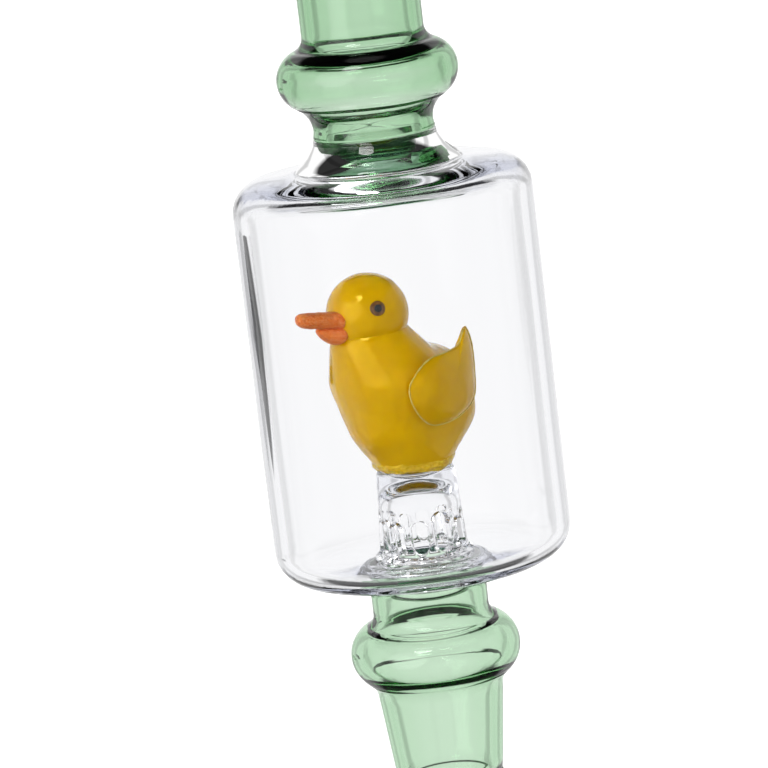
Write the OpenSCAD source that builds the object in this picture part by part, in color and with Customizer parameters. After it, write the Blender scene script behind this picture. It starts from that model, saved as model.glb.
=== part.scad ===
// Glass bubbler straw: a clear water chamber between two green tubes, with a glass duck on a slotted dome inside.
// The long axis is Z with the mouthpiece up. The origin is at the chamber's centre. The duck faces -X.

/* [Chamber] */
// Outside diameter of the clear chamber
chamber_d = 50; // [48:0.5:54]
// Height of the chamber between its shoulders
chamber_h = 67.5; // [66:0.5:72]
// Wall thickness of the chamber
chamber_wall_t = 2.2; // [1.8:0.1:2.6]
// Thickness of the two end plates at their rims
plate_t = 2.6; // [2.2:0.1:3]
// Outside radius of the rounded shoulders
shoulder_r = 5; // [4:0.5:6]
// Rise of each end plate from its rim to its middle
plate_rise = 1; // [0.6:0.1:1.4]
// Radius of the concave flare that joins the top collar to its plate
collar_flare = 6; // [5:0.5:6.5]
// Height of the clear collar above the top plate
collar_h = 4.8; // [4:0.2:5]
// Length of the clear stub under the floor plate
stub_h = 1.6; // [1.2:0.1:2.4]

/* [Green tubes] */
// Outside radius of the mouthpiece tube
tube_r = 10.2; // [9.8:0.1:10.6]
// Wall thickness of both green tubes
tube_wall = 2; // [1.6:0.1:2.2]
// Height of the mouthpiece's rim above the chamber's centre
mouth_z = 100; // [80:1:120]
// Radius of the fire-polished bead on the rim
lip_r = 1.4; // [1.2:0.1:1.6]
// Height of the upper ring bulge above the chamber's centre
upper_ring_z = 49.4; // [49:0.2:53]
// Largest radius of the upper ring bulge
upper_ring_r = 15.1; // [14.6:0.1:15.6]
// Largest radius of the lower ring bulge
lower_ring_r = 14.4; // [14:0.1:15]
// Depth of the lower ring bulge below the chamber's centre
lower_ring_z = 48.4; // [48:0.2:50]
// Outside radius of the stem just under the chamber
stem_neck_r = 9.8; // [9.6:0.1:10.2]
// Outside radius of the stem just under its ring bulge
stem_r = 10.6; // [10.2:0.1:10.8]
// Depth of the stem's lower end below the chamber's centre
stem_end_z = 70; // [68:1:76]

/* [Percolator] */
// Outside radius of the dome
dome_r = 7.2; // [7:0.1:7.4]
// Wall thickness of the dome
dome_wall = 1.8; // [1.5:0.1:2]
// Number of slots round the dome's foot
slot_count = 10; // [8:1:10]
// Width of each slot
slot_w = 2.3; // [1.8:0.1:2.4]
// Height of each slot with its arched top
slot_h = 6; // [4:0.5:7]

/* [Duck] */
// Height of the seam between the dome and the duck
duck_seat_z = -16.5; // [-17:0.1:-16]
// Radius of the duck's round head
head_r = 6.85; // [6.6:0.05:7]
// Height of the head's centre
head_z = 10.4; // [10:0.1:10.8]
// Distance of the head's centre in front of the axis
head_fwd = 6; // [5.6:0.1:6.2]
// Diameter of an eye
eye_d = 2.5; // [2:0.1:3]
// Diameter of a pupil
pupil_d = 1.3; // [1:0.1:1.6]
// Angle of an eye round the head from straight ahead
eye_turn = 70; // [60:1:80]
// Angle of an eye above the head's middle
eye_up = 14; // [8:1:20]

/* [Joint and tip] */
// Bore diameter at the mouth of the ground joint
joint_d = 14.5; // [14.3:0.1:14.6]
// Length of the ground cone, which tapers by one tenth on diameter
joint_l = 20; // [18:1:20]
// Outside radius of the joint socket
socket_r = 9; // [8.9:0.1:9.1]
// Radial clearance of the tip in the joint and of the clip on the glass
clearance = 0.06; // [0.03:0.01:0.1]
// Diameter of the hole through the tip's nozzle
nozzle_bore = 2; // [1.5:0.1:2.4]
// Length of the tip's nozzle below its neck
nozzle_l = 20; // [16:1:26]

/* [Hidden] */
$fn = 96;

// Chamber levels
shell_r = chamber_d / 2;
rim_z = chamber_h / 2;
crown_z = rim_z + plate_rise;
plate_in_z = rim_z - plate_t;
collar_z = crown_z + collar_h;
stub_z = -crown_z - stub_h;
floor_hole_r = 6.2;
hole_lip = 1;
// Small fillet between the chamber wall and each plate, inside
in_corner = 0.8;
in_r = shell_r - chamber_wall_t;
stub_in_r = stem_neck_r - tube_wall;
bore_r = tube_r - tube_wall;
// The mouthpiece's foot goes down inside the collar to the ceiling
foot_step = 0.4;
foot_r = tube_r - foot_step;
// Where a plate's inside face crosses the rounded shoulder, as an angle round the shoulder
shoulder_a = asin((shoulder_r - plate_t) / shoulder_r);
// Ring bulges: radius of the round, and of the fillets on the chamber's side and on the far side
upper_round = 5.2;
lower_round = 5.5;
near_fillet = 2.2;
upper_far_fillet = 2.5;
lower_far_fillet = 3.5;
// Fillets where the stub and the dome's foot meet the floor
foot_fillet = 1.2;
// Duck
breast_at = [-3.2, 0, -1];
breast_radii = [9.6, 10.9, 6.6];
belly_radii = [8.7, 8.9, 6.5];
rump_radii = [8.4, 9.4, 8];
back_at = [4.2, 0, -1.6];
back_radii = [6.5, 7.5, 5];
skirt_r = 7.3;
skirt_taper = 0.6;
skirt_seat_r = 6.4;
skirt_up = 1.6;
skirt_down = 1.1;
// The belly and the rump rest on the flat top of the skirt
duck_base_z = duck_seat_z + skirt_up;
belly_at = [-2, 0, duck_base_z + belly_radii[2]];
rump_at = [3.4, 0, duck_base_z + rump_radii[2]];
neck_r = 6.8;
neck_z = 4;
eye_rise = 0.3;
// Bill rods: start behind the head's surface, height below the head's centre, pitch, end radii and length
bill_start = head_fwd + 4;
upper_root_z = -0.3;
upper_pitch = 9.5;
upper_root_r = 1.9;
upper_tip_r = 1.2;
upper_bill_l = 10.3;
lower_root_z = -1.5;
lower_pitch = -4;
lower_root_r = 1.65;
lower_tip_r = 1.1;
lower_bill_l = 6.6;
// Wings: three balls each, at the lobe, the rear and the tip, which is turned up on the left wing only
wing_lobe_at = [-1.4, 9.4, -3.2];
wing_lobe = [5.8, 2.3, 5.4];
wing_rear_at = [5.6, 8.3, -2.6];
wing_rear = [4.4, 1.9, 4.6];
left_tip_at = [8.8, 6.7, 4.4];
right_tip_at = [8.8, 7.3, 0.8];
wing_tip = [1.2, 1.2, 1.2];
// The head and the neck are two balls on one upright line. They meet in a flat seam.
head_drop = head_z - neck_z;
seam_z = neck_z + (head_drop * head_drop + neck_r * neck_r - head_r * head_r) / (2 * head_drop);
// Joint, clip and tip levels, all downwards
mouth_r = joint_d / 2;
cone_step = 1 / 20;
throat_r = mouth_r - joint_l * cone_step;
throat_h = 2.5;
socket_mouth_z = -stem_end_z - throat_h - joint_l;
bead_r = 1.7;
bead_z = socket_mouth_z + bead_r;
bead_out = 1.4;
bead_reach = socket_r + bead_out;
gap = 0.3;
flange_r = 9.6;
flange_t = 1.8;
flange_z = socket_mouth_z - 2 * gap;
tip_neck_r = 5.5;
jaw_h = 4;
jaw_t = 2.6;
tip_neck_l = jaw_h + 2 * gap;
nozzle_z = flange_z - flange_t - tip_neck_l;
nozzle_r = 7;
nozzle_shoulder = 3;
nozzle_end_r = 1.8;
nozzle_end_round = 0.3;
male_l = joint_l - 3;
bridge_r = bead_reach + 2 * gap;
bridge_t = 2.2;
arm_wrap = 232;
bridge_wrap = 110;
// Larger than any radius, for cutting sectors
reach = 40;

// Points along an arc, as [radius, height] pairs
function arc(centre, r, from, to, steps = 8) = [
    for (i = [0:steps])
        let (a = from + (to - from) * i / steps)
        centre + r * [cos(a), sin(a)]
];

function backwards(points) = [for (i = [len(points) - 1:-1:0]) points[i]];

// One side of a ring bulge blown out of a tube, from bottom to top. depth moves the line into the glass.
function ring_line(z, peak_r, round_r, low_r, low_fillet, top_r, top_fillet, depth) =
    let (
        middle = peak_r - round_r,
        low_x = low_r + low_fillet - middle,
        top_x = top_r + top_fillet - middle,
        low_y = sqrt(pow(round_r + low_fillet, 2) - low_x * low_x),
        top_y = sqrt(pow(round_r + top_fillet, 2) - top_x * top_x),
        low_a = atan2(-low_y, low_x),
        top_a = atan2(top_y, top_x)
    )
    concat(
        arc([middle + low_x, z - low_y], low_fillet + depth, 180, low_a + 180, 5),
        arc([middle, z], round_r - depth, low_a, top_a, 14),
        arc([middle + top_x, z + top_y], top_fillet + depth, top_a + 180, 180, 5)
    );

function upper_ring(depth) =
    ring_line(upper_ring_z, upper_ring_r, upper_round, tube_r, near_fillet, tube_r, upper_far_fillet, depth);

function lower_ring(depth) =
    ring_line(-lower_ring_z, lower_ring_r, lower_round, stem_r, lower_far_fillet, stem_neck_r, near_fillet, depth);

module mouthpiece() {
    // The bead rolls outwards, so the bore stays clear
    lip_mid = bore_r + lip_r;
    lip_a = acos((tube_r - lip_mid) / lip_r);
    color("palegreen")
        rotate_extrude()
        polygon(concat(
            [[foot_r, plate_in_z], [foot_r, collar_z], [tube_r, collar_z]],
            upper_ring(0),
            arc([lip_mid, mouth_z - lip_r], lip_r, -lip_a, 180, 16),
            backwards(upper_ring(tube_wall)),
            [[bore_r, plate_in_z]]
        ));
}

// The chamber's glass is fused from a wall and two plates, which meet level with the plates' inside faces
module top_plate() {
    flare = [tube_r + collar_flare, crown_z + collar_flare];
    flare_end = 180 + asin((flare[1] - collar_z) / collar_flare);
    color("lightcyan")
        rotate_extrude()
        polygon(concat(
            [[foot_r, plate_in_z]],
            arc([shell_r - shoulder_r, rim_z - shoulder_r], shoulder_r, shoulder_a, 90, 6),
            arc(flare, collar_flare, 270, flare_end),
            [[foot_r, collar_z]]
        ));
}

module chamber_wall() {
    color("lightcyan")
        rotate_extrude()
        polygon(concat(
            arc([shell_r - shoulder_r, -rim_z + shoulder_r], shoulder_r, -shoulder_a, 0, 4),
            arc([shell_r - shoulder_r, rim_z - shoulder_r], shoulder_r, 0, shoulder_a, 4),
            arc([in_r - in_corner, plate_in_z - in_corner], in_corner, 90, 0, 4),
            arc([in_r - in_corner, -plate_in_z + in_corner], in_corner, 0, -90, 4)
        ));
}

module floor_plate() {
    color("lightcyan")
        rotate_extrude()
        polygon(concat(
            [[stub_in_r, stub_z], [stem_neck_r, stub_z]],
            arc([stem_neck_r + foot_fillet, -crown_z - foot_fillet], foot_fillet, 180, 90, 5),
            arc([shell_r - shoulder_r, -rim_z + shoulder_r], shoulder_r, 270, 360 - shoulder_a, 6),
            [[floor_hole_r, -plate_in_z], [floor_hole_r, hole_lip - crown_z], [stub_in_r, -crown_z]]
        ));
}

// An upright slot with a half-round top, cut outwards along +X from inside the dome's hollow
module slot_cut() {
    straight = slot_h - slot_w / 2;
    start = 4;
    translate([start, 0, 0]) rotate([90, 0, 90]) linear_extrude(dome_r) {
        translate([-slot_w / 2, 0]) square([slot_w, straight]);
        translate([0, straight]) circle(d = slot_w, $fn = 32);
    }
}

module percolator() {
    foot_z = -plate_in_z;
    crown_low_z = duck_seat_z - skirt_down;
    dome_round = 2;
    crown_a = acos((skirt_seat_r - dome_r + dome_round) / dome_round);
    hollow_r = dome_r - dome_wall;
    color("azure")
        difference() {
            rotate_extrude()
                polygon(concat(
                    [[hollow_r, foot_z]],
                    arc([dome_r + foot_fillet, foot_z + foot_fillet], foot_fillet, 270, 180, 5),
                    arc([dome_r - dome_round, crown_low_z - dome_round], dome_round, 0, crown_a, 5),
                    [[skirt_seat_r, duck_seat_z], [0, duck_seat_z],
                        [0, duck_seat_z - dome_wall]],
                    arc([hollow_r - dome_round, duck_seat_z - dome_wall - dome_round], dome_round, 90, 0, 5)
                ));
            for (i = [0:slot_count - 1])
                rotate(i * 360 / slot_count)
                    translate([0, 0, foot_z + foot_fillet])
                        slot_cut();
        }
}

module frit_skirt() {
    low_z = duck_seat_z - skirt_down;
    mid_z = (low_z + duck_base_z) / 2;
    color("goldenrod")
        rotate_extrude()
        polygon([[skirt_seat_r, low_z], [skirt_r - skirt_taper, low_z], [skirt_r, mid_z], [skirt_r, duck_base_z],
            [skirt_seat_r, duck_base_z]]);
}

// A ball stretched to three radii
module egg(at, radii) {
    translate(at) scale(radii) sphere(r = 1, $fn = 28);
}

module duck_body() {
    color("gold") {
        hull() {
            egg(breast_at, breast_radii);
            egg(belly_at, belly_radii);
            egg(rump_at, rump_radii);
            egg(back_at, back_radii);
            translate([0, 0, duck_base_z]) cylinder(r = skirt_r, h = skirt_taper, $fn = 32);
        }
        intersection() {
            hull() {
                egg([-head_fwd, 0, neck_z], [neck_r, neck_r, neck_r]);
                egg(breast_at, breast_radii);
            }
            translate([-2 * shell_r, -shell_r, seam_z - 2 * shell_r]) cube(2 * shell_r);
        }
        translate([0, 0, duck_seat_z]) cylinder(r = skirt_seat_r, h = skirt_up);
    }
}

module head_ball(extra) {
    translate([-head_fwd, 0, head_z]) sphere(r = head_r + extra);
}

module duck_head() {
    color("gold")
        intersection() {
            head_ball(0);
            translate([-head_fwd - shell_r, -shell_r, seam_z]) cube(2 * shell_r);
        }
}

// A round rod that narrows to a rounded end, pointing forwards from inside the head
module bill_rod(root_z, pitch, root_r, tip_r, length) {
    translate([-bill_start, 0, head_z + root_z])
        rotate([0, pitch - 90, 0])
        rotate_extrude($fn = 48)
        polygon(concat([[0, 0], [root_r, 0]], arc([0, length - tip_r], tip_r, 10, 90)));
}

module upper_bill_rod() {
    bill_rod(upper_root_z, upper_pitch, upper_root_r, upper_tip_r, upper_bill_l);
}

module upper_bill() {
    color("coral")
        difference() {
            upper_bill_rod();
            head_ball(0);
        }
}

module lower_bill() {
    color("coral")
        difference() {
            bill_rod(lower_root_z, lower_pitch, lower_root_r, lower_tip_r, lower_bill_l);
            upper_bill_rod();
            head_ball(0);
        }
}

// side is -1 for the duck's left, which is -Y, and 1 for its right
module wing(side, tip_at) {
    color("gold")
        scale([1, side, 1])
        hull() {
            egg(wing_lobe_at, wing_lobe);
            egg(wing_rear_at, wing_rear);
            egg(tip_at, wing_tip);
        }
}

// A thin round patch that lies on the head, between two radii of the ball
module eye_patch(side, diameter, from, to) {
    intersection() {
        difference() {
            head_ball(to);
            head_ball(from);
        }
        translate([-head_fwd, 0, head_z])
            rotate([0, -eye_up, 180 - side * eye_turn])
            rotate([0, 90, 0])
            cylinder(d = diameter, h = 2 * head_r);
    }
}

module eye(side) {
    color("sienna") eye_patch(side, eye_d, 0, eye_rise);
}

module pupil(side) {
    color("black") eye_patch(side, pupil_d, eye_rise, 2 * eye_rise);
}

module lower_stem() {
    color("palegreen")
        rotate_extrude()
        polygon(concat(
            [[socket_r - tube_wall, -stem_end_z], [socket_r, -stem_end_z]],
            lower_ring(0),
            [[stem_neck_r, stub_z], [stub_in_r, stub_z]],
            backwards(lower_ring(tube_wall))
        ));
}

module joint_socket() {
    bead_middle = bead_reach - bead_r;
    bead_a = acos((socket_r - bead_middle) / bead_r);
    color("palegreen")
        rotate_extrude()
        polygon(concat(
            [[mouth_r, socket_mouth_z]],
            arc([bead_middle, bead_z], bead_r, -90, bead_a, 10),
            [[socket_r, -stem_end_z], [socket_r - tube_wall, -stem_end_z], [throat_r, socket_mouth_z + joint_l]]
        ));
}

// A flat C with round ends, open towards -Y
module jaw(inner_r) {
    middle_r = inner_r + jaw_t / 2;
    mouth_a = (360 - arm_wrap) / 2;
    difference() {
        circle(r = inner_r + jaw_t);
        circle(r = inner_r);
        polygon([[0, 0], reach * [-sin(mouth_a), -cos(mouth_a)], [-reach, -reach], [reach, -reach],
            reach * [sin(mouth_a), -cos(mouth_a)]]);
    }
    for (side = [-1, 1])
        translate(middle_r * [side * sin(mouth_a), -cos(mouth_a)])
            circle(d = jaw_t, $fn = 32);
}

// The part of a flat ring that lies behind the joint
module back_sector(inner_r, outer_r) {
    half = bridge_wrap / 2;
    intersection() {
        difference() {
            circle(r = outer_r);
            circle(r = inner_r);
        }
        polygon([[0, 0], reach * [sin(half), cos(half)], reach * [sin(half), 2], reach * [-sin(half), 2],
            reach * [-sin(half), cos(half)]]);
    }
}

module joint_clip() {
    top_jaw_z = bead_z + bead_r + gap;
    low_jaw_z = nozzle_z + gap;
    outer_r = bridge_r + bridge_t;
    window_w = 8;
    window_h = 5;
    color("seagreen")
        difference() {
            union() {
                translate([0, 0, top_jaw_z]) linear_extrude(jaw_h) {
                    jaw(socket_r + clearance);
                    back_sector(socket_r + clearance, outer_r);
                }
                translate([0, 0, low_jaw_z]) linear_extrude(jaw_h) {
                    jaw(tip_neck_r + clearance);
                    back_sector(tip_neck_r + clearance, outer_r);
                }
                translate([0, 0, low_jaw_z])
                    linear_extrude(top_jaw_z + jaw_h - low_jaw_z)
                    back_sector(bridge_r, outer_r);
            }
            translate([-window_w / 2, 0, (top_jaw_z + low_jaw_z + jaw_h - window_h) / 2])
                cube([window_w, 2 * outer_r, window_h]);
        }
}

module tip() {
    top_z = flange_z + gap + male_l;
    male_low_r = mouth_r - clearance;
    male_top_r = male_low_r - (top_z - socket_mouth_z) * cone_step;
    nozzle_end_z = nozzle_z - nozzle_l;
    end_mid = nozzle_end_r - nozzle_end_round;
    cup_r = 4;
    cup_z = flange_z - flange_t;
    hole_r = nozzle_bore / 2;
    color("silver")
        rotate_extrude()
        polygon(concat(
            [[hole_r, nozzle_end_z]],
            arc([end_mid, nozzle_end_z + nozzle_end_round], nozzle_end_round, 270, 360, 4),
            [[nozzle_r, nozzle_z - nozzle_shoulder], [nozzle_r, nozzle_z], [tip_neck_r, nozzle_z],
                [tip_neck_r, cup_z], [flange_r, cup_z], [flange_r, flange_z], [male_low_r, flange_z], [male_low_r, socket_mouth_z],
                [male_top_r, top_z], [cup_r, top_z], [cup_r, cup_z], [hole_r, cup_z - cup_r]]
        ));
}

mouthpiece();
top_plate();
chamber_wall();
floor_plate();
percolator();
frit_skirt();
duck_body();
duck_head();
upper_bill();
lower_bill();
wing(-1, left_tip_at);  // left_wing
wing(1, right_tip_at);  // right_wing
eye(-1);  // left_eye
eye(1);  // right_eye
pupil(-1);  // left_pupil
pupil(1);  // right_pupil
lower_stem();
joint_socket();
joint_clip();
tip();
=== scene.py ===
import math
import random

import bmesh
import bpy
from mathutils import Matrix, Vector, noise
from mathutils.bvhtree import BVHTree


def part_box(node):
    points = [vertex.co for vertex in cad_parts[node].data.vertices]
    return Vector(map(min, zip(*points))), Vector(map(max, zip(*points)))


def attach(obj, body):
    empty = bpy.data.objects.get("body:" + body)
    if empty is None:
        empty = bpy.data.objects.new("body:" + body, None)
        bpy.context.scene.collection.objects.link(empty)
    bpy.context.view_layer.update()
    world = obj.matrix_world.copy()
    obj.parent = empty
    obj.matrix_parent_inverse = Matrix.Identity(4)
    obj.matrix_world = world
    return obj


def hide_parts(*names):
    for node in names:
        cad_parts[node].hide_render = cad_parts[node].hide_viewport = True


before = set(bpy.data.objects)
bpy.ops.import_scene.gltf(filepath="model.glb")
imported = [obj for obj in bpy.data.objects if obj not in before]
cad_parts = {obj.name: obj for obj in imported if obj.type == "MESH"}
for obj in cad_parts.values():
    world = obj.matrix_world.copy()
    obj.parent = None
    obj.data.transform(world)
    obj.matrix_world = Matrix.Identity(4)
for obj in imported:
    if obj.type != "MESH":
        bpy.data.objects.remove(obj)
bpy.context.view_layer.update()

mm = 0.001
dice = random.Random(11)
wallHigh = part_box("chamber_wall")[1]
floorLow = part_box("floor_plate")[0]
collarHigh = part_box("top_plate")[1]
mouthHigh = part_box("mouthpiece")[1]
stemLow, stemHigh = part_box("lower_stem")
socketLow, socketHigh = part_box("joint_socket")
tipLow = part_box("tip")[0]
headLow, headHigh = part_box("duck_head")

# where it is seen from
# azimuth and elevation of the camera, its lean, and how much of the straw it takes in
shot = dict(azimuth=-38.0, elevation=10.0, lean=6.85, distance=0.70, frameWidth=0.128,
            shiftRight=-3.08 * mm, shiftUp=-2.8 * mm, sensor=36.0, nearest=0.01)


def addCamera():
    az, el, lean = (math.radians(shot[k]) for k in ("azimuth", "elevation", "lean"))
    ahead = Vector((-math.sin(az) * math.cos(el), math.cos(az) * math.cos(el), -math.sin(el)))
    flatRight = Vector((math.cos(az), math.sin(az), 0.0))
    flatUp = flatRight.cross(ahead)
    right = flatRight * math.cos(lean) - flatUp * math.sin(lean)
    up = flatUp * math.cos(lean) + flatRight * math.sin(lean)
    camData = bpy.data.cameras.new("productCamera")
    camera = bpy.data.objects.new("productCamera", camData)
    bpy.context.scene.collection.objects.link(camera)
    camData.sensor_width = shot["sensor"]
    camData.lens = shot["sensor"] * shot["distance"] / shot["frameWidth"]
    camData.clip_start = shot["nearest"]
    target = right * shot["shiftRight"] + up * shot["shiftUp"]
    spot = target - ahead * shot["distance"]
    camera.matrix_world = Matrix((
        (right.x, up.x, -ahead.x, spot.x),
        (right.y, up.y, -ahead.y, spot.y),
        (right.z, up.z, -ahead.z, spot.z),
        (0, 0, 0, 1)))
    bpy.context.scene.camera = camera


addCamera()
print("camera set")


# lines and spun glass
def arcLine(centre, radius, start, end, steps=10):
    # points on an arc, as (radius, height) pairs in mm
    line = []
    for i in range(steps + 1):
        a = math.radians(start + (end - start) * i / steps)
        line.append((centre[0] + radius * math.cos(a), centre[1] + radius * math.sin(a)))
    return line


def ringLine(z, peak, roundR, lowR, lowFillet, topR, topFillet, depth=0.0, steps=18):
    # one side of a hollow ring bulge, bottom to top; depth moves the line into the glass
    middle = peak - roundR
    lowX = lowR + lowFillet - middle
    topX = topR + topFillet - middle
    lowY = math.sqrt((roundR + lowFillet) ** 2 - lowX ** 2)
    topY = math.sqrt((roundR + topFillet) ** 2 - topX ** 2)
    lowA = math.degrees(math.atan2(-lowY, lowX))
    topA = math.degrees(math.atan2(topY, topX))
    return (arcLine((middle + lowX, z - lowY), lowFillet + depth, 180, lowA + 180, 8)
            + arcLine((middle, z), roundR - depth, lowA, topA, steps)
            + arcLine((middle + topX, z + topY), topFillet + depth, topA + 180, 180, 8))


def softCorners(corners, closed=True, steps=6):
    # rounds each (radius, height, rounding) corner; a rounding of 0 keeps the point
    line = []
    count = len(corners)
    for i, (r, z, rounding) in enumerate(corners):
        here = Vector((r, z))
        if rounding <= 0 or (not closed and i in (0, count - 1)):
            line.append((r, z))
            continue
        back = Vector(corners[i - 1][:2]) - here
        on = Vector(corners[(i + 1) % count][:2]) - here
        turn = back.angle(on)
        reach = rounding / math.tan(turn / 2)
        reach = min(reach, 0.48 * back.length, 0.48 * on.length)
        radius = reach * math.tan(turn / 2)
        start = here + back.normalized() * reach
        end = here + on.normalized() * reach
        centre = here + (back.normalized() + on.normalized()).normalized() * (radius / math.sin(turn / 2))
        a0 = math.atan2(start.y - centre.y, start.x - centre.x)
        a1 = math.atan2(end.y - centre.y, end.x - centre.x)
        while a1 - a0 > math.pi:
            a1 -= 2 * math.pi
        while a1 - a0 < -math.pi:
            a1 += 2 * math.pi
        for k in range(steps + 1):
            a = a0 + (a1 - a0) * k / steps
            line.append((centre.x + radius * math.cos(a), centre.y + radius * math.sin(a)))
    return line


def denseLine(line, longest, closed=True):
    # adds points along stretches that are longer than longest
    dense = []
    last = len(line) if closed else len(line) - 1
    for i in range(last):
        a = Vector(line[i])
        b = Vector(line[(i + 1) % len(line)])
        parts = max(1, math.ceil((b - a).length / longest))
        dense += [tuple(a.lerp(b, k / parts)) for k in range(parts)]
    if not closed:
        dense.append(line[-1])
    return dense


tiny = 1e-6
# how quickly hand-turned glass wanders across and along the axis, and where its drift in height is read
wander = dict(across=0.07, along=0.05, seedStep=(3.1, 1.7, 0.9), driftScale=1.3, driftAt=Vector((9, 4, 2)))


def handWobble(amount, seed, up=0.0):
    # slow unevenness of glass turned by hand; up lets the height drift too
    shift = Vector([seed * step for step in wander["seedStep"]])

    def wobble(p):
        spot = Vector((p.x * wander["across"], p.y * wander["across"], p.z * wander["along"])) + shift
        push = noise.noise(spot) * amount
        flat = Vector((p.x, p.y, 0.0))
        if flat.length > tiny:
            p = p + flat.normalized() * push
        p.z += noise.noise(spot * wander["driftScale"] + wander["driftAt"]) * up
        return p
    return wobble


def spinMesh(name, line, around=160, closed=True, wobble=None, longest=2.0):
    # turns a line of (radius, height) in mm round Z into one closed mesh
    line = denseLine(line, longest, closed)
    bm = bmesh.new()
    rings = []
    for r, z in line:
        if r < tiny:
            p = Vector((0, 0, z))
            rings.append([bm.verts.new((wobble(p) if wobble else p) * mm)])
            continue
        ring = []
        for k in range(around):
            a = 2 * math.pi * k / around
            p = Vector((r * math.cos(a), r * math.sin(a), z))
            ring.append(bm.verts.new((wobble(p) if wobble else p) * mm))
        rings.append(ring)
    pairs = list(zip(rings, rings[1:])) + ([(rings[-1], rings[0])] if closed else [])
    for low, high in pairs:
        for k in range(around):
            n = (k + 1) % around
            if len(low) == 1 and len(high) == 1:
                break
            if len(low) == 1:
                bm.faces.new((low[0], high[n], high[k]))
            elif len(high) == 1:
                bm.faces.new((low[k], low[n], high[0]))
            else:
                bm.faces.new((low[k], low[n], high[n], high[k]))
    bmesh.ops.recalc_face_normals(bm, faces=bm.faces)
    return meshObject(name, bm)


def meshObject(name, bm, smooth=True):
    mesh = bpy.data.meshes.new(name)
    bm.to_mesh(mesh)
    bm.free()
    obj = bpy.data.objects.new(name, mesh)
    bpy.context.scene.collection.objects.link(obj)
    if smooth:
        mesh.shade_smooth()
    return obj


def applyAll(obj):
    # turns the modifiers of a piece into its mesh
    bpy.context.view_layer.update()
    graph = bpy.context.evaluated_depsgraph_get()
    mesh = bpy.data.meshes.new_from_object(obj.evaluated_get(graph))
    obj.modifiers.clear()
    old = obj.data
    obj.data = mesh
    bpy.data.meshes.remove(old)
    mesh.name = obj.name
    mesh.shade_smooth()
    return obj


def melt(obj, voxel, softness, passes):
    # fuses a piece's solids into one skin and softens it, as a flame does
    skin = obj.modifiers.new("fuse", "REMESH")
    skin.mode = "VOXEL"
    skin.voxel_size = voxel * mm
    soft = obj.modifiers.new("soften", "SMOOTH")
    soft.factor = softness
    soft.iterations = passes
    return applyAll(obj)


def finishPiece(obj, material, body, nodes):
    if material:
        obj.data.materials.clear()
        obj.data.materials.append(material)
    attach(obj, body)
    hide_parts(*nodes)
    return obj


# glass and metal finishes
def newMaterial(name):
    mat = bpy.data.materials.new(name)
    mat.use_nodes = True
    tree = mat.node_tree
    shader = tree.nodes["Principled BSDF"]
    out = tree.nodes["Material Output"]
    return mat, tree, shader, out


def node(tree, kind, **values):
    made = tree.nodes.new(kind)
    for key, value in values.items():
        if key in made.inputs:
            made.inputs[key].default_value = value
        else:
            setattr(made, key, value)
    return made


def objectPlace(tree, scale):
    # object coordinates, stretched to suit the pattern
    coords = node(tree, "ShaderNodeTexCoord")
    stretch = node(tree, "ShaderNodeMapping")
    stretch.inputs["Scale"].default_value = scale
    tree.links.new(coords.outputs["Object"], stretch.inputs["Vector"])
    return stretch.outputs["Vector"]


def noiseOf(tree, scale, detail, roughness=0.5):
    made = node(tree, "ShaderNodeTexNoise", Scale=1.0, Detail=detail, Roughness=roughness)
    tree.links.new(objectPlace(tree, scale), made.inputs["Vector"])
    return made.outputs["Fac"]


def crumbsOf(tree, scale):
    made = node(tree, "ShaderNodeTexVoronoi", Scale=1.0)
    tree.links.new(objectPlace(tree, scale), made.inputs["Vector"])
    return made.outputs["Distance"]


def raiseSkin(tree, shader, height, strength, depth):
    bump = node(tree, "ShaderNodeBump", Strength=strength, Distance=depth)
    tree.links.new(height, bump.inputs["Height"])
    tree.links.new(bump.outputs["Normal"], shader.inputs["Normal"])


def ramp(tree, source, stops):
    made = node(tree, "ShaderNodeValToRGB")
    ends = made.color_ramp.elements
    for i, (spot, colour) in enumerate(stops):
        end = ends[i] if i < 2 else ends.new(spot)
        end.position = spot
        end.color = (*colour, 1.0)
    tree.links.new(source, made.inputs["Fac"])
    return made.outputs["Color"]


# tint is what is left of each colour, density how fast the glass takes the rest, per metre,
# and mirror how much it reflects when seen straight on
glassLooks = dict(
    clear=dict(tint=(0.42, 0.46, 0.62), density=20.0, drawn=0.05, mirror=0.06),
    green=dict(tint=(0.15, 0.58, 0.17), density=240.0, drawn=0.10, mirror=0.5),
    paleGreen=dict(tint=(0.15, 0.60, 0.17), density=165.0, drawn=0.10, mirror=0.5),
)
glassIor = 1.47
# faint lines along the tube, left when it was drawn
drawnLines = dict(scale=(260, 260, 16), detail=2.0, depth=0.0004)


def drawnGlass(name, look, roughness=0.0):
    mat, tree, shader, out = newMaterial(name)
    shader.inputs["Base Color"].default_value = (1, 1, 1, 1)
    shader.inputs["Roughness"].default_value = roughness
    shader.inputs["IOR"].default_value = glassIor
    shader.inputs["Specular Tint"].default_value = (look["mirror"],) * 3 + (1,)
    shader.inputs["Transmission Weight"].default_value = 1.0
    soak = node(tree, "ShaderNodeVolumeAbsorption", Color=(*look["tint"], 1), Density=look["density"])
    tree.links.new(soak.outputs["Volume"], out.inputs["Volume"])
    lines = noiseOf(tree, drawnLines["scale"], drawnLines["detail"])
    raiseSkin(tree, shader, lines, look["drawn"], drawnLines["depth"])
    return mat


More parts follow.
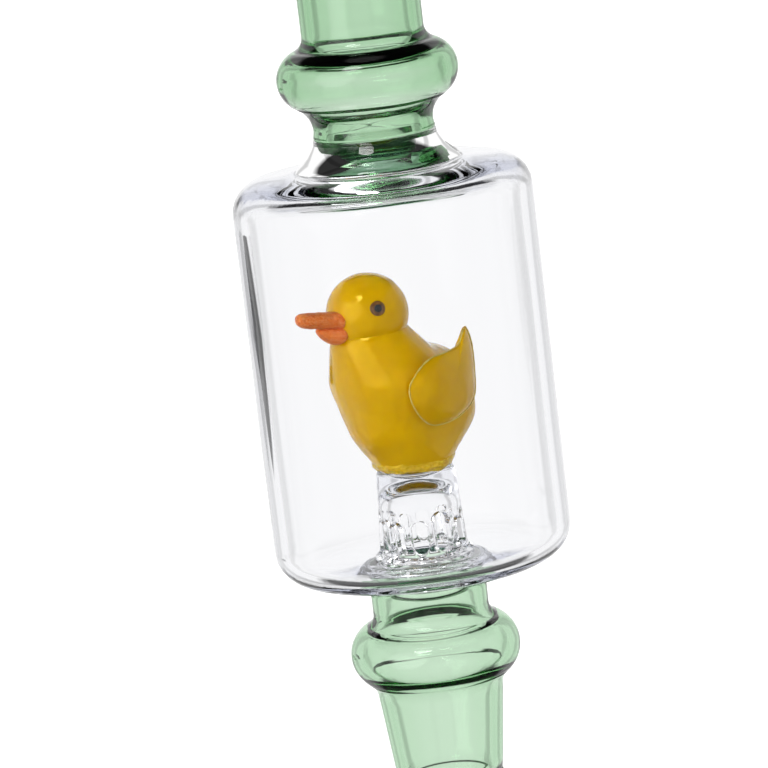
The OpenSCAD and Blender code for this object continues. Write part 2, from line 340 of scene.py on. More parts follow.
# clouds of warm and bright yellow, patches of seeds (tiny bubbles under the skin), and a slightly uneven skin
duckLook = dict(warm=(0.66, 0.36, 0.0), bright=(0.80, 0.47, 0.0), seed=(0.85, 0.62, 0.08),
                sheen=(1.0, 0.76, 0.12), gloss=0.05, ior=1.5,
                cloudScale=(120,) * 3, seedScale=(2600,) * 3, patchScale=(260,) * 3,
                waveScale=(330,) * 3, waveStrength=0.35, waveDepth=0.0006,
                glow=0.2, glowColour=(1.0, 0.55, 0.02), glowDepth=0.0012)


def addGlow(shader, amount, colour, depth):
    # light that wanders under the skin of opaque glass
    shader.inputs["Subsurface Weight"].default_value = amount
    shader.inputs["Subsurface Radius"].default_value = colour
    shader.inputs["Subsurface Scale"].default_value = depth


def duckGlass(name):
    mat, tree, shader, out = newMaterial(name)
    look = duckLook
    clouds = noiseOf(tree, look["cloudScale"], 3.0, 0.55)
    swirl = ramp(tree, clouds, [(0.30, look["warm"]), (0.72, look["bright"])])
    dots = ramp(tree, crumbsOf(tree, look["seedScale"]), [(0.06, (1, 1, 1)), (0.16, (0, 0, 0))])
    patches = ramp(tree, noiseOf(tree, look["patchScale"], 1.0),
                   [(0.50, (0, 0, 0)), (0.66, (0.5, 0.5, 0.5))])
    both = node(tree, "ShaderNodeMix", data_type="RGBA", blend_type="MULTIPLY")
    both.inputs["Factor"].default_value = 1.0
    tree.links.new(dots, both.inputs["A"])
    tree.links.new(patches, both.inputs["B"])
    mix = node(tree, "ShaderNodeMix", data_type="RGBA")
    tree.links.new(both.outputs["Result"], mix.inputs["Factor"])
    tree.links.new(swirl, mix.inputs["A"])
    mix.inputs["B"].default_value = (*look["seed"], 1)
    tree.links.new(mix.outputs["Result"], shader.inputs["Base Color"])
    shader.inputs["Roughness"].default_value = look["gloss"]
    shader.inputs["IOR"].default_value = look["ior"]
    shader.inputs["Specular Tint"].default_value = (*look["sheen"], 1)
    addGlow(shader, look["glow"], look["glowColour"], look["glowDepth"])
    raiseSkin(tree, shader, noiseOf(tree, look["waveScale"], 1.5), look["waveStrength"], look["waveDepth"])
    return mat


fritLook = dict(fineness=1.4, detail=4.0, roughness=0.7, glow=0.25, glowColour=(1.0, 0.4, 0.15),
                glowDepth=0.0008, lumpStrength=0.7, lumpDepth=0.00018)


def fritGlass(name, deep, light, gloss, grain):
    # crumbs of coloured glass melted together; the same builder also makes the pale painted highlight along
    # the wings' creases
    mat, tree, shader, out = newMaterial(name)
    look = fritLook
    fine = noiseOf(tree, (grain * look["fineness"],) * 3, look["detail"], look["roughness"])
    tree.links.new(ramp(tree, fine, [(0.36, deep), (0.66, light)]), shader.inputs["Base Color"])
    shader.inputs["Roughness"].default_value = gloss
    shader.inputs["Specular Tint"].default_value = (*light, 1)
    addGlow(shader, look["glow"], look["glowColour"], look["glowDepth"])
    raiseSkin(tree, shader, crumbsOf(tree, (grain,) * 3), look["lumpStrength"], look["lumpDepth"])
    return mat


eyeLook = dict(scale=(1500,) * 3, detail=3.0, gloss=0.12, ior=1.5)


def eyeGlass(name, colour, edge):
    mat, tree, shader, out = newMaterial(name)
    grain = noiseOf(tree, eyeLook["scale"], eyeLook["detail"])
    tree.links.new(ramp(tree, grain, [(0.35, colour), (0.65, edge)]), shader.inputs["Base Color"])
    shader.inputs["Roughness"].default_value = eyeLook["gloss"]
    shader.inputs["IOR"].default_value = eyeLook["ior"]
    return mat


metalLook = dict(dark=(0.36, 0.35, 0.34), light=(0.47, 0.46, 0.45), scale=(30, 30, 9000), detail=2.0,
                 smooth=0.24, rough=0.40, cutStrength=0.25, cutDepth=0.00004)


def tipMetal(name):
    # fine rings left by turning
    mat, tree, shader, out = newMaterial(name)
    look = metalLook
    shader.inputs["Metallic"].default_value = 1.0
    turned = noiseOf(tree, look["scale"], look["detail"])
    colour = ramp(tree, turned, [(0.3, look["dark"]), (0.7, look["light"])])
    tree.links.new(colour, shader.inputs["Base Color"])
    rough = node(tree, "ShaderNodeMapRange")
    rough.inputs["To Min"].default_value = look["smooth"]
    rough.inputs["To Max"].default_value = look["rough"]
    tree.links.new(turned, rough.inputs["Value"])
    tree.links.new(rough.outputs["Result"], shader.inputs["Roughness"])
    raiseSkin(tree, shader, turned, look["cutStrength"], look["cutDepth"])
    return mat


plasticLook = dict(dark=(0.02, 0.17, 0.055), light=(0.03, 0.21, 0.07), scale=(900,) * 3, detail=3.0,
                   gloss=0.32, glow=0.1, glowDepth=0.0008, grainStrength=0.15, grainDepth=0.0001)


def clipPlastic(name):
    mat, tree, shader, out = newMaterial(name)
    look = plasticLook
    grain = noiseOf(tree, look["scale"], look["detail"])
    colour = ramp(tree, grain, [(0.3, look["dark"]), (0.7, look["light"])])
    tree.links.new(colour, shader.inputs["Base Color"])
    shader.inputs["Roughness"].default_value = look["gloss"]
    shader.inputs["Subsurface Weight"].default_value = look["glow"]
    shader.inputs["Subsurface Scale"].default_value = look["glowDepth"]
    raiseSkin(tree, shader, grain, look["grainStrength"], look["grainDepth"])
    return mat


clearGlass = drawnGlass("clearGlass", glassLooks["clear"])
greenGlass = drawnGlass("greenGlass", glassLooks["green"])
stemGlass = drawnGlass("stemGlass", glassLooks["paleGreen"])
groundGlass = drawnGlass("groundGlass", glassLooks["paleGreen"], roughness=0.45)
yellowGlass = duckGlass("yellowGlass")
yellowFrit = fritGlass("yellowFrit", (0.66, 0.37, 0.0), (0.92, 0.66, 0.06), 0.2, 1500)
orangeFrit = fritGlass("orangeFrit", (0.80, 0.13, 0.008), (0.98, 0.36, 0.11), 0.38, 1900)
# pale yellow painted highlight for the thin ridge along each wing's crease
seamHighlight = fritGlass("seamHighlight", (0.62, 0.42, 0.03), (0.85, 0.70, 0.22), 0.15, 900)
amberGlass = eyeGlass("amberGlass", (0.10, 0.035, 0.004), (0.20, 0.08, 0.012))
blackGlass = eyeGlass("blackGlass", (0.003, 0.003, 0.003), (0.008, 0.010, 0.014))
greyTitanium = tipMetal("greyTitanium")
greenPlastic = clipPlastic("greenPlastic")
print("finishes mixed")

# the clear chamber
chamber = dict(radius=wallHigh.x / mm, rim=33.75, crown=34.75, wall=2.2, plate=2.6, shoulder=5.0,
               flare=6.0, collarTop=collarHigh.z / mm, floor=-31.9, holeR=6.2,
               stubBottom=floorLow.z / mm, neck=9.8, footRound=1.2, softer=0.6, corner=3.2,
               holeRound=0.6, hugs=0.1)
tube = dict(radius=10.2, wall=2.0, lip=1.4, top=mouthHigh.z / mm)
seam = 0.03  # thin gap between pieces that are fused


# where the flared green foot of the mouthpiece meets the clear plate and collar
footSeam = [(9.95, 39.4), (10.3, 38.7), (10.7, 37.9), (11.45, 36.8), (12.4, 35.9), (13.3, 35.1), (13.9, 34.2),
            (14.0, 33.0), (13.7, 31.4)]


def makeChamber():
    c = chamber
    inner = c["radius"] - c["wall"]
    ceiling = c["rim"] - c["plate"]
    stubIn = c["neck"] - tube["wall"]
    stubEnd = c["stubBottom"] + seam
    shoulder = c["shoulder"] + c["softer"]
    collarR = tube["radius"] + c["hugs"]
    line = softCorners([
        (stubIn, stubEnd, 0.4), (c["neck"], stubEnd, 0.5), (c["neck"], -c["crown"], c["footRound"]),
        (c["radius"], -c["rim"], shoulder), (c["radius"], c["rim"], shoulder),
        (collarR, c["crown"], c["flare"]), (collarR, c["collarTop"], 0.15),
        (footSeam[0][0] + seam, c["collarTop"], 0.05)]
        + [(rad + seam, z, 0) for rad, z in footSeam] + [
        (footSeam[-1][0] - 0.2, ceiling, 0.05), (inner, ceiling, c["corner"]),
        (inner, c["floor"], c["corner"]),
        (c["holeR"], c["floor"], c["holeRound"]), (c["holeR"], -c["crown"] + 1, c["holeRound"]),
        (stubIn, -c["crown"], c["holeRound"])])
    obj = spinMesh("chamberGlass", line, 192, wobble=handWobble(0.10, 1, up=0.12))
    return finishPiece(obj, clearGlass, "glass", ["top_plate", "chamber_wall", "floor_plate"])


makeChamber()
print("chamber blown")

# the green tubes
upperRing = dict(z=49.4, peak=15.1, roundR=5.2, lowR=10.0, lowFillet=4.4, topR=10.2, topFillet=2.5)
# corners of the upper ring's hollow, bottom to top: its ceiling is nearly flat under thick glass
upperHollow = [(8.0, 39.0, 0), (8.0, 42.8, 4.5), (13.0, 46.6, 2.8), (13.0, 51.6, 2.2), (8.7, 52.5, 0.7),
               (8.2, 57.0, 0)]
lowerRing = dict(z=-48.4, peak=14.4, roundR=5.5, lowR=10.6, lowFillet=3.5, topR=9.8, topFillet=2.2)


def makeMouthpiece():
    t, c = tube, chamber
    boreR = t["radius"] - t["wall"]
    ceiling = c["rim"] - c["plate"]
    middle = boreR + t["lip"]
    lipA = math.degrees(math.acos((t["radius"] - middle) / t["lip"]))
    inside = softCorners(upperHollow, closed=False, steps=12)
    line = (footSeam[::-1]
            + [(footSeam[0][0], c["collarTop"] + 0.02), (t["radius"] - 0.1, c["collarTop"] + 0.08),
               (t["radius"], c["collarTop"] + 0.4)]
            + ringLine(**upperRing)
            + arcLine((middle, t["top"] - t["lip"]), t["lip"], -lipA, 180, 20)
            + inside[::-1]
            + [(boreR, ceiling + 0.8), (boreR + 0.7, ceiling + 0.1), (footSeam[-1][0] - 0.4, ceiling + 0.1)])
    obj = spinMesh("mouthpieceTube", line, 160, wobble=handWobble(0.16, 2, up=0.25))
    return finishPiece(obj, greenGlass, "glass", ["mouthpiece"])


def makeStem():
    top = stemHigh.z / mm - seam
    bottom = stemLow.z / mm + seam
    endR, wall = 9.0, tube["wall"]
    neckR = lowerRing["topR"]
    inside = ringLine(**lowerRing, depth=wall)
    nip = 0.2  # the stem's end is slightly rounded
    line = ([(endR - wall, bottom + nip), (endR - wall + nip, bottom)]
            + [(endR - nip, bottom), (endR, bottom + nip)]
            + ringLine(**lowerRing)
            + [(neckR, top - 0.3), (neckR - 0.3, top), (neckR - wall + 0.3, top), (neckR - wall, top - 0.3)]
            + inside[::-1])
    obj = spinMesh("stemTube", line, 160, wobble=handWobble(0.16, 3, up=0.25))
    return finishPiece(obj, stemGlass, "glass", ["lower_stem"])


makeMouthpiece()
makeStem()
print("green tubes drawn")

# the ground joint
joint = dict(outer=9.0, bead=1.7, beadReach=10.4, mouthR=7.25, length=20.0, mouthZ=socketLow.z / mm,
             topZ=socketHigh.z / mm)


def makeSocket():
    j = joint
    wall = tube["wall"]
    throat = j["mouthR"] - j["length"] / 20
    middle = j["beadReach"] - j["bead"]
    beadA = math.degrees(math.acos((j["outer"] - middle) / j["bead"]))
    line = ([(j["mouthR"] + 0.25, j["mouthZ"])]
            + arcLine((middle, j["mouthZ"] + j["bead"]), j["bead"], -90, beadA, 14)
            + [(j["outer"], j["topZ"] - 0.3), (j["outer"] - 0.2, j["topZ"] - seam),
               (j["outer"] - wall + 0.2, j["topZ"] - seam), (j["outer"] - wall, j["topZ"] - 0.3),
               (throat, j["mouthZ"] + j["length"]), (j["mouthR"], j["mouthZ"] + 0.25)])
    obj = spinMesh("groundSocket", line, 160, longest=1.0)
    obj.data.materials.append(stemGlass)
    obj.data.materials.append(groundGlass)
    # the cone inside is ground, so it is frosted
    for face in obj.data.polygons:
        spot = face.center / mm
        away = math.hypot(spot.x, spot.y)
        cone = joint["mouthR"] - (spot.z - j["mouthZ"]) / 20
        if j["mouthZ"] + 0.3 < spot.z < j["mouthZ"] + j["length"] and abs(away - cone) < 0.1:
            face.material_index = 1
    return finishPiece(obj, None, "glass", ["joint_socket"])


makeSocket()
print("joint ground")

# the slotted dome
dome = dict(radius=7.2, wall=1.8, top=-17.4, floor=-31.9, slots=10, slotW=2.4, slotH=6.0, crown=1.2,
            foot=1.2, voxel=0.17)


slotCorner = 0.32  # share of a slot's width that its lower corners are cut back by
slotSpan = (4.0, 11.0)  # the cutter's inner and outer ends, measured from the axis


def slotCutter(bm, turn, width, height, base, tilt):
    # a flat capsule that points outwards
    outline = []
    low = width * slotCorner
    for i in range(13):
        a = math.pi * i / 12
        outline.append((width / 2 * math.cos(a), base + height - width / 2 + width / 2 * math.sin(a)))
    outline.append((-width / 2, base + low))
    outline.append((-width / 2 + low, base))
    outline.append((width / 2 - low, base))
    outline.append((width / 2, base + low))
    centre = base + height / 2
    near, far = [], []
    for y, z in outline:
        for x, side in zip(slotSpan, (near, far)):
            p = Matrix.Rotation(turn, 3, "Z") @ (
                Matrix.Rotation(tilt, 3, "X") @ Vector((x, y, z - centre)) + Vector((0, 0, centre)))
            side.append(bm.verts.new(p * mm))
    bm.faces.new(near)
    bm.faces.new(far[::-1])
    for i in range(len(outline)):
        n = (i + 1) % len(outline)
        bm.faces.new((near[i], far[i], far[n], near[n]))


def makeDome():
    d = dome
    inner = d["radius"] - d["wall"]
    line = softCorners([
        (0, d["top"], 0), (5.0, d["top"], 0.6), (6.4, d["top"] + 0.5, 0.5), (6.6, d["top"] - 2.0, 2.0),
        (d["radius"] + 0.1, d["floor"] + 1.5, 1.2), (d["radius"] + 1.0, d["floor"] + 0.5, 0.4),
        (d["radius"] + 1.2, d["floor"] + seam, 0.3), (inner, d["floor"] + seam, 0.3),
        (inner, d["floor"] + 2, 0),
        (inner, d["top"] - d["crown"] - inner, 0)], closed=False)
    line += arcLine((0, d["top"] - d["crown"] - inner), inner, 6, 90, 14)
    uneven = handWobble(0.45, 5, up=0.15)
    body = spinMesh("percolatorDome", line, 96, closed=False, wobble=uneven, longest=0.8)
    cut = bmesh.new()
    for i in range(d["slots"]):
        slotCutter(cut, 2 * math.pi * (i + 0.35) / d["slots"] + dice.uniform(-0.05, 0.05),
                   d["slotW"] * dice.uniform(0.9, 1.12), d["slotH"] * dice.uniform(0.78, 1.12),
                   d["floor"] + d["foot"] * dice.uniform(0.8, 1.1), dice.uniform(-0.08, 0.08))
    bmesh.ops.recalc_face_normals(cut, faces=cut.faces)
    cutter = meshObject("slotCutter", cut)
    saw = body.modifiers.new("slots", "BOOLEAN")
    saw.operation = "DIFFERENCE"
    saw.object = cutter
    saw.solver = "EXACT"
    applyAll(body)
    bpy.data.objects.remove(cutter)
    melt(body, d["voxel"], 0.5, 7)
    return finishPiece(body, clearGlass, "glass", ["percolator"])


makeDome()
print("dome slotted")

# the duck
# forwards is -X; each ball is (centre, radii)
duck = dict(
    neck=((-5.8, 0, 4.2), (7.2, 7.2, 6.8)),
    breast=((-3.2, 0, -1.0), (9.6, 10.9, 6.6)),
    belly=((-2.0, 0, -8.5), (8.7, 8.9, 6.5)),
    rump=((3.4, 0, -7.0), (8.4, 9.4, 8.0)),
    back=((4.2, 0, -1.6), (6.5, 7.5, 5.0)),
    seats=((7.0, -15.3), (6.1, -16.5), (4.6, -17.3)), headR=(headHigh.y - headLow.y) / 2 / mm, voxel=0.40)
duck["headAt"] = ((headLow.x + headHigh.x) / 2 / mm, 0.0, headHigh.z / mm - duck["headR"])


def ballPoints(centre, radii, steps=28):
    points = []
    for i in range(steps // 2 + 1):
        for k in range(steps):
            a = math.pi * i / (steps // 2)
            b = 2 * math.pi * k / steps
            points.append(Vector((centre[0] + radii[0] * math.sin(a) * math.cos(b),
                                  centre[1] + radii[1] * math.sin(a) * math.sin(b),
                                  centre[2] + radii[2] * math.cos(a))))
    return points


def wrapped(bm, points):
    # a tight skin round a cloud of points
    verts = [bm.verts.new(p * mm) for p in points]
    hull = bmesh.ops.convex_hull(bm, input=verts)
    loose = {v for v in hull["geom_interior"] + hull["geom_unused"] if isinstance(v, bmesh.types.BMVert)}
    bmesh.ops.delete(bm, geom=list(loose), context="VERTS")


def discPoints(radius, z, steps=32):
    turns = (2 * math.pi * k / steps for k in range(steps))
    return [Vector((radius * math.cos(a), radius * math.sin(a), z)) for a in turns]


def makeBody():
    bm = bmesh.new()
    wrapped(bm, sum((ballPoints(*duck[part]) for part in ("breast", "belly", "rump", "back")), [])
            + sum((discPoints(*seat) for seat in duck["seats"]), []))
    wrapped(bm, ballPoints(*duck["neck"]) + ballPoints(*duck["breast"]))
    obj = meshObject("duckBody", bm)
    melt(obj, duck["voxel"], 0.5, 14)
    return finishPiece(obj, yellowGlass, "glass", ["duck_body"])


def makeHead():
    bm = bmesh.new()
    bmesh.ops.create_icosphere(bm, subdivisions=5, radius=duck["headR"])
    at = Vector(duck["headAt"])
    for v in bm.verts:
        lump = 1 + 0.012 * noise.noise(v.co * 0.22 + Vector((4, 1, 7)))
        v.co = (v.co * lump + at) * mm
    obj = meshObject("duckHead", bm)
    return finishPiece(obj, yellowGlass, "glass", ["duck_head"])


# the bill: places along it as (forwards, up, half width, half thickness), from the head's centre
bills = dict(
    upper=[(4.6, -0.3, 2.0, 1.6), (6.2, -0.1, 2.4, 1.65), (8.2, 0.35, 2.1, 1.5), (10.4, 0.8, 1.9, 1.4),
           (12.3, 1.15, 1.7, 1.35), (13.5, 1.4, 1.25, 1.05), (14.0, 1.5, 0.6, 0.55)],
    lower=[(4.6, -1.7, 1.6, 1.4), (6.4, -2.2, 2.3, 1.6), (7.8, -2.2, 2.1, 1.5), (9.3, -1.6, 1.5, 1.1),
           (10.3, -1.1, 0.7, 0.5)])


def between(p0, p1, p2, p3, t):
    # a spot on the smooth curve that leads from p1 to p2
    return 0.5 * (2 * p1 + (p2 - p0) * t + (2 * p0 - 5 * p1 + 4 * p2 - p3) * t * t
                  + (3 * p1 - p0 - 3 * p2 + p3) * t ** 3)


def throughPoints(stops, steps):
    # a smooth run of values through the stops
    run = []
    for i in range(len(stops) - 1):
        near = [Vector(stops[min(max(i + k, 0), len(stops) - 1)]) for k in (-1, 0, 1, 2)]
        run += [between(*near, k / steps) for k in range(steps)]
    run.append(Vector(stops[-1]))
    return run


def makeBill(name, stops, cadNode, seed):
    run = throughPoints(stops, 6)
    bm = bmesh.new()
    at = Vector(duck["headAt"])
    around = 40
    rings = []
    for place in run:
        ahead, up, wide, thick = place
        ring = []
        for k in range(around):
            a = 2 * math.pi * k / around
            p = Vector((-ahead, wide * math.cos(a), up + thick * math.sin(a)))
            p += 0.10 * noise.noise(p * 1.6 + Vector((seed, 0, 0))) * Vector((0, math.cos(a), math.sin(a)))
            ring.append(bm.verts.new((p + at) * mm))
        rings.append(ring)
    for low, high in zip(rings, rings[1:]):
        for k in range(around):
            n = (k + 1) % around
            bm.faces.new((low[k], low[n], high[n], high[k]))
    for ring, place in ((rings[0], run[0]), (rings[-1], run[-1])):
        end = 0.25 if ring is rings[-1] else 0.0
        hub = bm.verts.new((Vector((-place[0] - end, 0, place[1])) + at) * mm)
        for k in range(around):
            bm.faces.new((hub, ring[k], ring[(k + 1) % around]))
    bmesh.ops.recalc_face_normals(bm, faces=bm.faces)
    obj = meshObject(name, bm)
    return finishPiece(obj, orangeFrit, "glass", [cadNode])


# outline of a wing as (backwards, up), its tip turned up behind
wing = dict(outline=[(-7.5, -1.3), (-6.6, -5.0), (-3.9, -8.0), (-0.6, -8.6), (3.0, -7.9), (6.3, -6.1),
                     (7.8, -4.0), (8.5, -1.0), (9.0, 2.8), (7.8, 5.9), (6.3, 5.0), (4.8, 3.5), (1.3, 3.0),
                     (-2.3, 2.8), (-5.2, 1.5)],
            lowTip=[(8.7, -0.6), (8.9, 0.9), (8.0, 2.0), (6.4, 2.4), (4.8, 2.6)],
            # the last three values on the next line give the thin ridge along the crease that carries a
            # painted highlight: its radius, its sides and how far it stands off the body
            middle=(0.8, -2.4), thick=1.05, rings=16, seam=0.13, highlightSides=8, highlightRise=0.35,
            reach=10.3, bend=1.5, sunk=0.35, lift=0.15)


def closedCurve(points, steps):
    curve = []
    count = len(points)
    for i in range(count):
        near = [Vector(points[(i + k) % count]) for k in (-1, 0, 1, 2)]
        curve += [between(*near, k / steps) for k in range(steps)]
    return curve


def makeWing(name, side, body, cadNode):
    # the wing lies on the body's side; its tip stands free
    skin = BVHTree.FromObject(body, bpy.context.evaluated_depsgraph_get())
    outline = list(wing["outline"])
    if side > 0:
        outline[7:12] = wing["lowTip"]
    rim = closedCurve(outline, 8)
    centre = Vector(wing["middle"])

    def sideOf(spot):
        free = (wing["reach"] - 0.020 * (spot.x + 2.0) ** 2 - 0.010 * max(0.0, spot.y) ** 2
                - 0.03 * max(0.0, -spot.y - 2.0) ** 2)
        hit = skin.ray_cast(Vector((spot.x, side * 30, spot.y)) * mm, Vector((0, -side, 0)))[0]
        onBody = abs(hit.y) / mm if hit else 0.0
        gap = (free - onBody) / wing["bend"]
        # a soft maximum, so that the wing leaves the body smoothly
        return onBody + wing["bend"] * math.log1p(math.exp(max(-30.0, min(30.0, gap)))) - wing["sunk"]

    bm = bmesh.new()
    steps = wing["rings"]
    faces = {}
    for out in (1, -1):
        rings = []
        for i in range(steps + 1):
            reach = math.sin(math.pi / 2 * i / steps)
            swell = wing["thick"] * max(0.0, 1 - reach ** 2.6) ** 0.5
            ring = []
            for edge in rim:
                spot = centre.lerp(edge, reach)
                away = sideOf(spot) + wing["lift"] + out * swell
                ring.append(Vector((spot.x, side * away, spot.y)) * mm)
            rings.append(ring)
        faces[out] = rings
    rimVerts = [bm.verts.new(p) for p in faces[1][-1]]
    count = len(rim)
    for out in (1, -1):
        hub = bm.verts.new(faces[out][0][0])
        rows = [[bm.verts.new(p) for p in ring] for ring in faces[out][1:-1]] + [rimVerts]
        for k in range(count):
            bm.faces.new((hub, rows[0][k], rows[0][(k + 1) % count]))
        for low, high in zip(rows, rows[1:]):
            for k in range(count):
                n = (k + 1) % count
                bm.faces.new((low[k], low[n], high[n], high[k]))
    # a thin ridge along the crease where the wing was pressed on, coloured pale as a painted highlight for
    # the light the crease catches
    sides = wing["highlightSides"]
    path = [Vector((e.x, side * (sideOf(e) + wing["highlightRise"]), e.y)) for e in rim]
    rings = []
    for k, spot in enumerate(path):
        along = (path[(k + 1) % count] - path[k - 1]).normalized()
        across = along.cross(Vector((0, side, 0))).normalized()
        out = across.cross(along)
        reach = wing["seam"] * (1 + 0.5 * noise.noise(spot * 1.1))
        rings.append([bm.verts.new((spot + reach * (across * math.cos(a) + out * math.sin(a))) * mm)
                      for a in (2 * math.pi * i / sides for i in range(sides))])
    highlightFaces = []
    for k in range(count):
        low, high = rings[k], rings[(k + 1) % count]
        for i in range(sides):
            n = (i + 1) % sides
            highlightFaces.append(bm.faces.new((low[i], low[n], high[n], high[i])))
    for face in highlightFaces:
        face.material_index = 1
    bmesh.ops.recalc_face_normals(bm, faces=bm.faces)
    obj = meshObject(name, bm)
    obj.data.materials.append(yellowGlass)
    obj.data.materials.append(seamHighlight)
    return finishPiece(obj, None, "glass", [cadNode])


eye = dict(radius=1.28, pupil=0.68, turn=68.0, up=14.0, proud=0.10, pupilProud=0.20, sunk=0.5, steps=8,
           seed=20, pupilSeed=30)


def makeDot(name, side, radius, proud, material, cadNode, seed):
    # a round patch melted onto the head, following its curve
    ball = duck["headR"]
    line = []
    steps = eye["steps"]
    for i in range(steps + 1):
        a = math.asin(radius / ball) * i / steps
        rise = ball + proud * math.sqrt(max(0.0, 1 - (i / steps) ** 4))
        line.append((rise * math.sin(a), rise * math.cos(a)))
    sunk = ball - eye["sunk"]
    line += [(radius * 0.96, sunk * 0.97), (0.0, sunk * 0.97)]
    obj = spinMesh(name, line, 48, closed=False, wobble=handWobble(0.12, seed), longest=0.5)
    turn = (Matrix.Rotation(math.radians(180 - side * eye["turn"]), 4, "Z")
            @ Matrix.Rotation(math.radians(90 - eye["up"]), 4, "Y"))
    obj.data.transform(Matrix.Translation(Vector(duck["headAt"]) * mm) @ turn)
    return finishPiece(obj, material, "glass", [cadNode])


def makeSkirt():
    # uneven ring of crumbs between the duck and the dome
    line = softCorners([(5.4, -16.4, 0), (5.4, -16.95, 0.1), (6.2, -16.8, 0.6), (6.9, -15.9, 1.0),
                        (7.2, -14.9, 0.5), (6.4, -14.5, 0)], closed=False)

    def lumpy(p):
        a = math.atan2(p.y, p.x)
        wave = 0.25 * math.sin(2 * a + 1.0) + 0.2 * math.sin(5 * a) + 0.12 * math.sin(11 * a + 2)
        flat = Vector((p.x, p.y, 0)).normalized()
        p = p + flat * 0.22 * noise.noise(p * 0.9)
        p.z += wave * (0.7 if p.z < -16 else 1.0)
        return p
    obj = spinMesh("fritSkirt", line, 160, closed=True, wobble=lumpy, longest=0.35)
    return finishPiece(obj, yellowFrit, "glass", ["frit_skirt"])


duckBody = makeBody()
makeHead()
makeBill("upperBill", bills["upper"], "upper_bill", 3)
makeBill("lowerBill", bills["lower"], "lower_bill", 8)
for side, label in ((-1, "left"), (1, "right")):
    makeWing(label + "Wing", side, duckBody, label + "_wing")
    makeDot(label + "Eye", side, eye["radius"], eye["proud"], amberGlass, label + "_eye",
            eye["seed"] + side)
    makeDot(label + "Pupil", side, eye["pupil"], eye["pupilProud"], blackGlass, label + "_pupil",
            eye["pupilSeed"] + side)
makeSkirt()
print("duck shaped")

# the clip and the tip keep their own shapes
edgeBevel = dict(width=0.25 * mm, segments=2)
for name, material in (("joint_clip", greenPlastic), ("tip", greyTitanium)):
    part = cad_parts[name]
    part.data.materials.clear()
    part.data.materials.append(material)
    soft = part.modifiers.new("softEdges", "BEVEL")
    soft.width = edgeBevel["width"]
    soft.segments = edgeBevel["segments"]
    soft.limit_method = "ANGLE"
print("clip and tip finished")

# studio
studio = dict(floorZ=tipLow.z - 0.02, floorSize=12.0, floorShade=0.9, floorGlow=0.55,
              tones=dict(white=1.0, dark=0.03, under=0.12, zenith=0.9, nadir=0.15),
              # where each tone stands, from 0 underfoot to 1 overhead; the two ends come first
              bands=[(0.0, "nadir"), (1.0, "zenith"), (0.146, "under"), (0.19, "white"), (0.77, "white"),
                     (0.815, "dark"), (0.982, "dark"), (0.99, "zenith")],
              # how many dark stripes there are all round, how dark they are, and their soft edges
              stripes=8.0, stripe=0.65, stripeEdges=(-0.95, -0.50),
              # card: degrees left of straight behind, its half width, its elevation and half height
              card=(33.0, 10.0, -9.0, 2.0), cardTone=0.05, cardEdges=(0.8, 1.1),
              # softboxes: (way, half width in degrees, power)
              boxes=[((-1.0, -0.15, 0.32), 30.0, 2.6), ((-0.85, -0.45, 1.25), 12.0, 14.0),
                     ((0.4, 0.8, 1.6), 8.0, 2.0)])


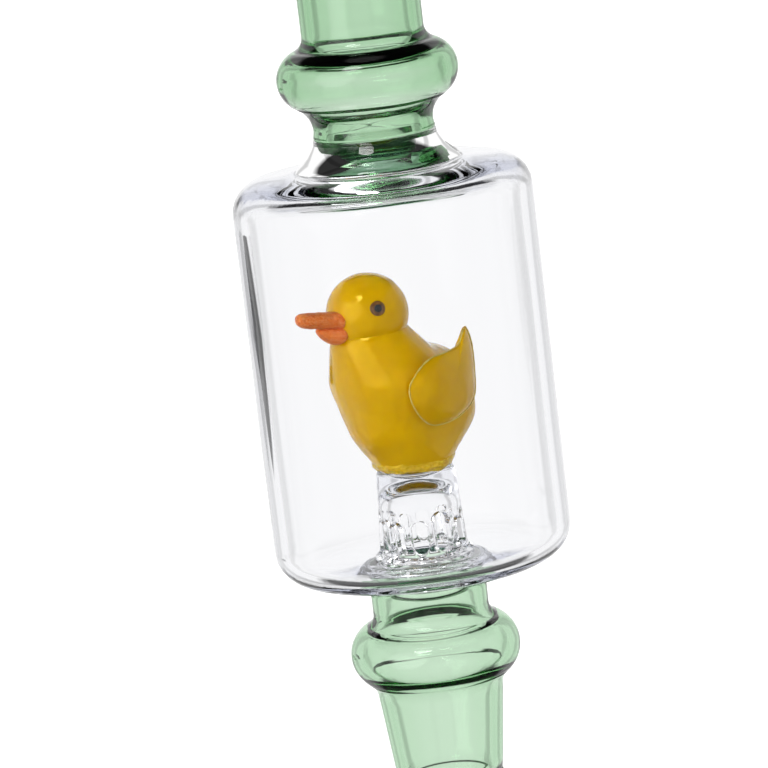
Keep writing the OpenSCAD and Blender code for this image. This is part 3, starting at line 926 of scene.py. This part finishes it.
def paintSky():
    # white all round at the horizon with narrow dark stripes, dark further up and down, and soft boxes
    world = bpy.data.worlds.new("studioSky")
    bpy.context.scene.world = world
    world.use_nodes = True
    tree = world.node_tree
    back = tree.nodes["Background"]
    coords = node(tree, "ShaderNodeTexCoord")
    split = node(tree, "ShaderNodeSeparateXYZ")
    tree.links.new(coords.outputs["Generated"], split.inputs["Vector"])
    height = node(tree, "ShaderNodeMapRange")
    height.inputs["From Min"].default_value = -1.0
    tree.links.new(split.outputs["Z"], height.inputs["Value"])
    sky = ramp(tree, height.outputs["Result"],
               [(spot, (studio["tones"][tone],) * 3) for spot, tone in studio["bands"]])
    # the stripes stand at even steps all round, half a step to either side of straight behind
    angle = node(tree, "ShaderNodeMath", operation="ARCTAN2")
    tree.links.new(split.outputs["Y"], angle.inputs[0])
    tree.links.new(split.outputs["X"], angle.inputs[1])
    behind = math.radians(90.0 + shot["azimuth"])
    turns = node(tree, "ShaderNodeMath", operation="MULTIPLY_ADD")
    tree.links.new(angle.outputs["Value"], turns.inputs[0])
    turns.inputs[1].default_value = studio["stripes"]
    turns.inputs[2].default_value = -studio["stripes"] * behind
    wave = node(tree, "ShaderNodeMath", operation="COSINE")
    tree.links.new(turns.outputs["Value"], wave.inputs[0])
    stripes = node(tree, "ShaderNodeMapRange", interpolation_type="SMOOTHSTEP")
    stripes.inputs["From Min"].default_value, stripes.inputs["From Max"].default_value = studio["stripeEdges"]
    stripes.inputs["To Min"].default_value = studio["stripe"]
    tree.links.new(wave.outputs["Value"], stripes.inputs["Value"])
    striped = node(tree, "ShaderNodeMix", data_type="RGBA", blend_type="MULTIPLY")
    striped.inputs["Factor"].default_value = 1.0
    tree.links.new(sky, striped.inputs["A"])
    tree.links.new(stripes.outputs["Result"], striped.inputs["B"])
    # a small dark card far behind, seen only through the chamber wall
    total = striped.outputs["Result"]
    spots = []
    cardLeft, cardHalf, cardUp, cardHalfUp = (math.radians(a) for a in studio["card"])
    for value, centre, reach in ((angle.outputs["Value"], behind + cardLeft, cardHalf),
                                 (split.outputs["Z"], math.sin(cardUp), cardHalfUp)):
        off = node(tree, "ShaderNodeMath", operation="SUBTRACT")
        tree.links.new(value, off.inputs[0])
        off.inputs[1].default_value = centre
        scaled = node(tree, "ShaderNodeMath", operation="DIVIDE")
        tree.links.new(off.outputs["Value"], scaled.inputs[0])
        scaled.inputs[1].default_value = reach
        size = node(tree, "ShaderNodeMath", operation="ABSOLUTE")
        tree.links.new(scaled.outputs["Value"], size.inputs[0])
        spots.append(size.outputs["Value"])
    both = node(tree, "ShaderNodeMath", operation="ADD")
    tree.links.new(spots[0], both.inputs[0])
    tree.links.new(spots[1], both.inputs[1])
    card = node(tree, "ShaderNodeMapRange", interpolation_type="SMOOTHSTEP")
    card.inputs["From Min"].default_value, card.inputs["From Max"].default_value = studio["cardEdges"]
    card.inputs["To Min"].default_value = studio["cardTone"]
    tree.links.new(both.outputs["Value"], card.inputs["Value"])
    carded = node(tree, "ShaderNodeMix", data_type="RGBA", blend_type="MULTIPLY")
    carded.inputs["Factor"].default_value = 1.0
    tree.links.new(total, carded.inputs["A"])
    tree.links.new(card.outputs["Result"], carded.inputs["B"])
    total = carded.outputs["Result"]
    boxEdge = 0.8
    for way, spread, power in studio["boxes"]:
        dot = node(tree, "ShaderNodeVectorMath", operation="DOT_PRODUCT")
        dot.inputs[1].default_value = Vector(way).normalized()
        tree.links.new(coords.outputs["Generated"], dot.inputs[0])
        edge = node(tree, "ShaderNodeMapRange", interpolation_type="SMOOTHSTEP")
        edge.inputs["From Min"].default_value = math.cos(math.radians(spread))
        edge.inputs["From Max"].default_value = math.cos(math.radians(spread * boxEdge))
        edge.inputs["To Max"].default_value = power
        tree.links.new(dot.outputs["Value"], edge.inputs["Value"])
        add = node(tree, "ShaderNodeMix", data_type="RGBA", blend_type="ADD")
        add.inputs["Factor"].default_value = 1.0
        tree.links.new(total, add.inputs["A"])
        tree.links.new(edge.outputs["Result"], add.inputs["B"])
        total = add.outputs["Result"]
    # seen straight on, the backdrop is plain white
    rays = node(tree, "ShaderNodeLightPath")
    plain = node(tree, "ShaderNodeMix", data_type="RGBA")
    tree.links.new(rays.outputs["Is Camera Ray"], plain.inputs["Factor"])
    tree.links.new(total, plain.inputs["A"])
    plain.inputs["B"].default_value = (1, 1, 1, 1)
    tree.links.new(plain.outputs["Result"], back.inputs["Color"])
    back.inputs["Strength"].default_value = 1.0


def addFloor():
    bm = bmesh.new()
    bmesh.ops.create_grid(bm, x_segments=8, y_segments=8, size=studio["floorSize"] / 2)
    floor = meshObject("paleFloor", bm, smooth=False)
    floor.location.z = studio["floorZ"]
    mat, tree, shader, out = newMaterial("paleFloor")
    shader.inputs["Base Color"].default_value = (*(studio["floorShade"],) * 3, 1)
    shader.inputs["Roughness"].default_value = 0.9
    shader.inputs["Specular IOR Level"].default_value = 0.0
    shader.inputs["Emission Color"].default_value = (1, 1, 1, 1)
    shader.inputs["Emission Strength"].default_value = studio["floorGlow"]
    floor.data.materials.append(mat)
    # glass shows the sky's own lower half instead of the floor
    floor.visible_transmission = False
    floor.visible_glossy = False


paintSky()
addFloor()
scene = bpy.context.scene
scene.view_settings.view_transform = "Standard"
scene.cycles.max_bounces = 40
scene.cycles.transmission_bounces = 36
scene.cycles.glossy_bounces = 12
scene.cycles.diffuse_bounces = 4
scene.cycles.transparent_max_bounces = 16
print("studio lit")
